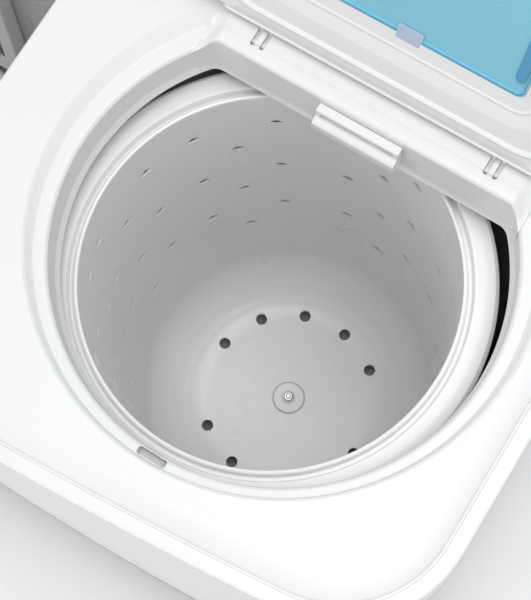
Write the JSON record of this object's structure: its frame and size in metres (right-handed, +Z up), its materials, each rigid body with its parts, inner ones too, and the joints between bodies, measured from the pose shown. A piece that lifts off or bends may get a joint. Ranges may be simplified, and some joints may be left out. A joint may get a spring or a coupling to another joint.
{
  "type": "top load washing machine",
  "caption": "Twin tub top load washing machine: round spin basket and wash tub side by side under hinged tinted lids, in a bow-fronted cabinet with a rear control panel.",
  "frame": {"origin": "middle of the footprint, on the floor, with both lids open", "axes": "+X is the user's right, +Y the back, +Z up"},
  "size_m": [0.76, 0.44, 1.0401],
  "materials": {
    "white_plastic": "soft gloss white moulding",
    "white_cabinet": "satin white moulded cabinet",
    "grey_plastic": "satin light grey",
    "rear_grey": "matt pale grey sheet",
    "fascia_grey": "gloss silver grey",
    "blue_plastic": "satin pale blue",
    "knob_blue": "gloss blue",
    "dark_plastic": "matt charcoal",
    "black_rubber": "matt black",
    "tub_grey": "satin polypropylene grey",
    "tub_dark": "satin dark grey",
    "pulsator_white": "gloss white",
    "basket_grey": "gloss moulded grey",
    "ring_white": "gloss white",
    "window_blue": "translucent blue tint, gloss",
    "chrome_bolt": "bright plated",
    "steel": "satin bare steel",
    "dark_steel": "dark coated steel",
    "cast_alloy": "as-cast aluminium alloy"
  },
  "bodies": {
    "machine": {"base_frame": "grey_plastic", "foot_front_left": "black_rubber", "foot_front_right": "black_rubber", "foot_rear_left": "black_rubber", "foot_rear_right": "black_rubber", "cabinet_shell": "white_cabinet", "rear_cover": "rear_grey", "top_frame": "white_plastic", "spin_hinge_bar": "white_plastic", "wash_hinge_bar": "white_plastic", "spin_spout": "white_plastic", "wash_spout": "white_plastic", "control_housing": "white_plastic", "control_fascia": "fascia_grey", "water_inlet": "blue_plastic", "wash_timer": "dark_plastic", "spin_timer": "dark_plastic", "drain_selector": "dark_plastic", "lid_switch": "dark_plastic", "capacitor": "dark_plastic", "cord_gland": "black_rubber", "wash_tub": "tub_grey", "wash_gearbox": "cast_alloy", "drive_belt": "black_rubber", "wash_motor": "cast_alloy", "wash_motor_bracket": "dark_steel", "overflow_cover": "white_plastic", "drain_valve_body": "dark_plastic", "drain_pipe": "dark_plastic", "outer_spin_tub": "tub_dark", "bellows_seal": "black_rubber", "spin_motor": "cast_alloy", "spin_motor_plate": "dark_steel", "mount_spring_1": "steel", "mount_spring_2": "steel", "mount_spring_3": "steel", "spin_hinge_pin": "steel", "wash_hinge_pin": "steel"},
    "spin_rotor": {"spin_basket": "basket_grey", "balance_ring": "ring_white", "basket_washer": "basket_grey", "basket_bolt": "chrome_bolt", "spin_shaft": "steel", "brake_drum": "cast_alloy"},
    "pulsator": {"pulsator": "pulsator_white", "pulsator_screw": "steel", "pulsator_shaft": "steel"},
    "gearbox_pulley": {"gearbox_pulley": "cast_alloy"},
    "motor_pulley": {"wash_motor_pulley": "cast_alloy"},
    "spin_lid": {"spin_lid_frame": "white_plastic", "spin_lid_window": "window_blue"},
    "wash_lid": {"wash_lid_frame": "white_plastic", "wash_lid_window": "window_blue"},
    "brake_lever": {"brake_lever": "dark_steel"},
    "switch_lever": {"lid_switch_lever": "white_plastic"},
    "wash_knob": {"wash_timer_knob": "knob_blue"},
    "spin_knob": {"spin_timer_knob": "knob_blue"},
    "drain_knob": {"drain_selector_knob": "knob_blue"},
    "drain_plunger": {"drain_valve_plunger": "black_rubber"},
    "lint_filter": {"lint_filter": "blue_plastic"}
  },
  "joints": [
    {"name": "spin_basket_turn", "type": "hinge", "parent": "machine", "child": "spin_rotor", "pos_m": [0.193, -0.033, 0.38], "axis": [0, 0, 1], "continuous": true},
    {"name": "pulsator_turn", "type": "hinge", "parent": "machine", "child": "pulsator", "pos_m": [-0.179, -0.036, 0.45], "axis": [0, 0, 1], "continuous": true},
    {"name": "gearbox_pulley_turn", "type": "hinge", "parent": "machine", "child": "gearbox_pulley", "pos_m": [-0.179, -0.036, 0.326], "axis": [0, 0, 1], "continuous": true},
    {"name": "motor_pulley_turn", "type": "hinge", "parent": "machine", "child": "motor_pulley", "pos_m": [-0.02, 0.062, 0.326], "axis": [0, 0, 1], "continuous": true},
    {"name": "spin_lid_hinge", "type": "hinge", "parent": "machine", "child": "spin_lid", "pos_m": [0.198, 0.08, 0.8], "axis": [1, 0, 0], "range_deg": [0, 112]},
    {"name": "wash_lid_hinge", "type": "hinge", "parent": "machine", "child": "wash_lid", "pos_m": [-0.179, 0.08, 0.8], "axis": [1, 0, 0], "range_deg": [0, 112]},
    {"name": "brake_lever_pivot", "type": "hinge", "parent": "machine", "child": "brake_lever", "pos_m": [0.262, 0.02, 0.27], "axis": [0, 0, 1], "range_deg": [0, 8]},
    {"name": "switch_lever_pivot", "type": "hinge", "parent": "machine", "child": "switch_lever", "pos_m": [0.334, 0.13, 0.826], "axis": [1, 0, 0], "range_deg": [0, 6]},
    {"name": "wash_knob_turn", "type": "hinge", "parent": "machine", "child": "wash_knob", "pos_m": [-0.262, 0.18, 0.9], "axis": [0, 0, -1], "range_deg": [0, 300]},
    {"name": "spin_knob_turn", "type": "hinge", "parent": "machine", "child": "spin_knob", "pos_m": [0.262, 0.18, 0.9], "axis": [0, 0, -1], "range_deg": [0, 300]},
    {"name": "drain_knob_turn", "type": "hinge", "parent": "machine", "child": "drain_knob", "pos_m": [-0.092, 0.18, 0.9], "axis": [0, 0, -1], "range_deg": [0, 90]},
    {"name": "drain_plunger_lift", "type": "slide", "parent": "machine", "child": "drain_plunger", "axis": [0, 0, 1], "range_m": [0, 0.005]},
    {"name": "lint_filter_lift", "type": "slide", "parent": "machine", "child": "lint_filter", "axis": [0, 0, 1], "range_m": [0, 0.06]}
  ],
  "couplings": [
    {"joint": "pulsator_turn", "follows": "gearbox_pulley_turn", "ratio": 0.2},
    {"joint": "motor_pulley_turn", "follows": "gearbox_pulley_turn", "ratio": 4.8},
    {"joint": "brake_lever_pivot", "follows": "spin_lid_hinge", "ratio": 0.0714},
    {"joint": "switch_lever_pivot", "follows": "spin_lid_hinge", "ratio": 0.0535},
    {"joint": "drain_plunger_lift", "follows": "drain_knob_turn", "m_per_rad": 0.00318}
  ]
}
